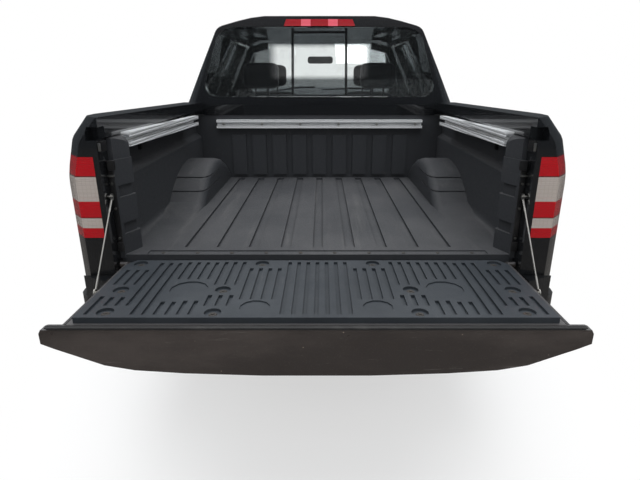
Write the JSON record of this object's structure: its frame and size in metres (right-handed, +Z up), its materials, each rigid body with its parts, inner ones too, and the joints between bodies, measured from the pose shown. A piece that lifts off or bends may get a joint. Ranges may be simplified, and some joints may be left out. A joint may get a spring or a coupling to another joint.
{
  "type": "pickup truck",
  "caption": "Crew-cab pickup truck with an open cargo bed, a drop-down tailgate on stay cables, opening doors and hood, and steered front wheels.",
  "frame": {"origin": "middle of the base of the box that the truck fills with its tailgate down, on the ground", "axes": "+X to the truck's right, +Y forwards, +Z up"},
  "size_m": [2.298, 5.705, 1.8239],
  "materials": {
    "body_paint": "gloss",
    "bed_plastic": "matte",
    "liner_plastic": "satin",
    "trim_plastic": "satin",
    "cabin_plastic": "matte",
    "seat_cloth": "matte",
    "chassis_black": "satin",
    "cast_metal": "matte",
    "bare_steel": "brushed",
    "bare_aluminium": "brushed",
    "wheel_alloy": "satin",
    "tyre_rubber": "matte",
    "lamp_red": "gloss",
    "lamp_clear": "gloss",
    "clear_glass": "gloss",
    "dark_glass": "gloss"
  },
  "bodies": {
    "body": {"bed_sides": "body_paint", "bed_sills": "chassis_black", "brake_lamp": "lamp_red", "cab": "body_paint", "cable_studs": "bare_steel", "cargo_box": "bed_plastic", "dashboard": "cabin_plastic", "exhaust": "bare_steel", "frame": "chassis_black", "front_arch_liners": "trim_plastic", "front_bumper": "body_paint", "front_fenders": "body_paint", "front_seats": "seat_cloth", "front_suspension": "chassis_black", "fuel_tank": "chassis_black", "grille": "trim_plastic", "headlamps": "lamp_clear", "hitch_receiver": "chassis_black", "powertrain": "cast_metal", "radiator": "bare_aluminium", "rear_arch_liners": "trim_plastic", "rear_axle": "chassis_black", "rear_bumper": "body_paint", "rear_seat": "seat_cloth", "rear_window": "dark_glass", "spare_rim": "chassis_black", "spare_tyre": "tyre_rubber", "tail_lamps": "lamp_red", "utility_tracks": "bare_aluminium", "windscreen": "clear_glass"},
    "hood_panel": {"hood": "body_paint"},
    "tailgate_panel": {"tailgate": "body_paint", "tailgate_liner": "liner_plastic"},
    "door_front_left": {"front_door_left": "body_paint", "front_glass_left": "clear_glass", "mirror_left": "body_paint"},
    "door_rear_left": {"rear_door_left": "body_paint", "rear_glass_left": "dark_glass"},
    "stay_left": {"tailgate_cable_left": "bare_steel"},
    "steering_left": {"knuckle_left": "cast_metal"},
    "wheel_front_left": {"front_tyre_left": "tyre_rubber", "front_rim_left": "wheel_alloy"},
    "wheel_rear_left": {"rear_tyre_left": "tyre_rubber", "rear_rim_left": "wheel_alloy"},
    "door_front_right": {"front_door_right": "body_paint", "front_glass_right": "clear_glass", "mirror_right": "body_paint"},
    "door_rear_right": {"rear_door_right": "body_paint", "rear_glass_right": "dark_glass"},
    "stay_right": {"tailgate_cable_right": "bare_steel"},
    "steering_right": {"knuckle_right": "cast_metal"},
    "wheel_front_right": {"front_tyre_right": "tyre_rubber", "front_rim_right": "wheel_alloy"},
    "wheel_rear_right": {"rear_tyre_right": "tyre_rubber", "rear_rim_right": "wheel_alloy"}
  },
  "joints": [
    {"name": "hood_hinge", "type": "hinge", "parent": "body", "child": "hood_panel", "pos_m": [0, 1.6505, 1.1872], "axis": [1, 0, 0], "range_deg": [0, 45]},
    {"name": "tailgate_hinge", "type": "hinge", "parent": "body", "child": "tailgate_panel", "pos_m": [0, -2.3595, 0.802], "axis": [-1, 0, 0], "range_deg": [0, 90]},
    {"name": "stay_left_swing", "type": "hinge", "parent": "body", "child": "stay_left", "pos_m": [-0.726, -2.3575, 1.057], "axis": [1, 0, 0], "range_deg": [0, 36]},
    {"name": "door_front_left_hinge", "type": "hinge", "parent": "body", "child": "door_front_left", "pos_m": [-0.923, 1.3365, 0.839], "axis": [0, 0, -1], "range_deg": [0, 65]},
    {"name": "door_rear_left_hinge", "type": "hinge", "parent": "body", "child": "door_rear_left", "pos_m": [-0.923, 0.302, 0.839], "axis": [0, 0, -1], "range_deg": [0, 65]},
    {"name": "steer_left", "type": "hinge", "parent": "body", "child": "steering_left", "pos_m": [-0.7, 1.9525, 0.388], "axis": [0, 0, 1], "range_deg": [-33, 33]},
    {"name": "wheel_front_left_spin", "type": "hinge", "parent": "steering_left", "child": "wheel_front_left", "pos_m": [-0.785, 1.9525, 0.388], "axis": [-1, 0, 0], "continuous": true},
    {"name": "wheel_rear_left_spin", "type": "hinge", "parent": "body", "child": "wheel_rear_left", "pos_m": [-0.785, -1.2475, 0.388], "axis": [-1, 0, 0], "continuous": true},
    {"name": "stay_right_swing", "type": "hinge", "parent": "body", "child": "stay_right", "pos_m": [0.726, -2.3575, 1.057], "axis": [1, 0, 0], "range_deg": [0, 36]},
    {"name": "door_front_right_hinge", "type": "hinge", "parent": "body", "child": "door_front_right", "pos_m": [0.923, 1.3365, 0.839], "axis": [0, 0, 1], "range_deg": [0, 65]},
    {"name": "door_rear_right_hinge", "type": "hinge", "parent": "body", "child": "door_rear_right", "pos_m": [0.923, 0.302, 0.839], "axis": [0, 0, 1], "range_deg": [0, 65]},
    {"name": "steer_right", "type": "hinge", "parent": "body", "child": "steering_right", "pos_m": [0.7, 1.9525, 0.388], "axis": [0, 0, 1], "range_deg": [-33, 33]},
    {"name": "wheel_front_right_spin", "type": "hinge", "parent": "steering_right", "child": "wheel_front_right", "pos_m": [0.785, 1.9525, 0.388], "axis": [-1, 0, 0], "continuous": true},
    {"name": "wheel_rear_right_spin", "type": "hinge", "parent": "body", "child": "wheel_rear_right", "pos_m": [0.785, -1.2475, 0.388], "axis": [-1, 0, 0], "continuous": true}
  ],
  "couplings": [
    {"joint": "steer_right", "follows": "steer_left", "ratio": 1},
    {"joint": "stay_left_swing", "follows": "tailgate_hinge", "ratio": 0.4},
    {"joint": "stay_right_swing", "follows": "tailgate_hinge", "ratio": 0.4}
  ]
}
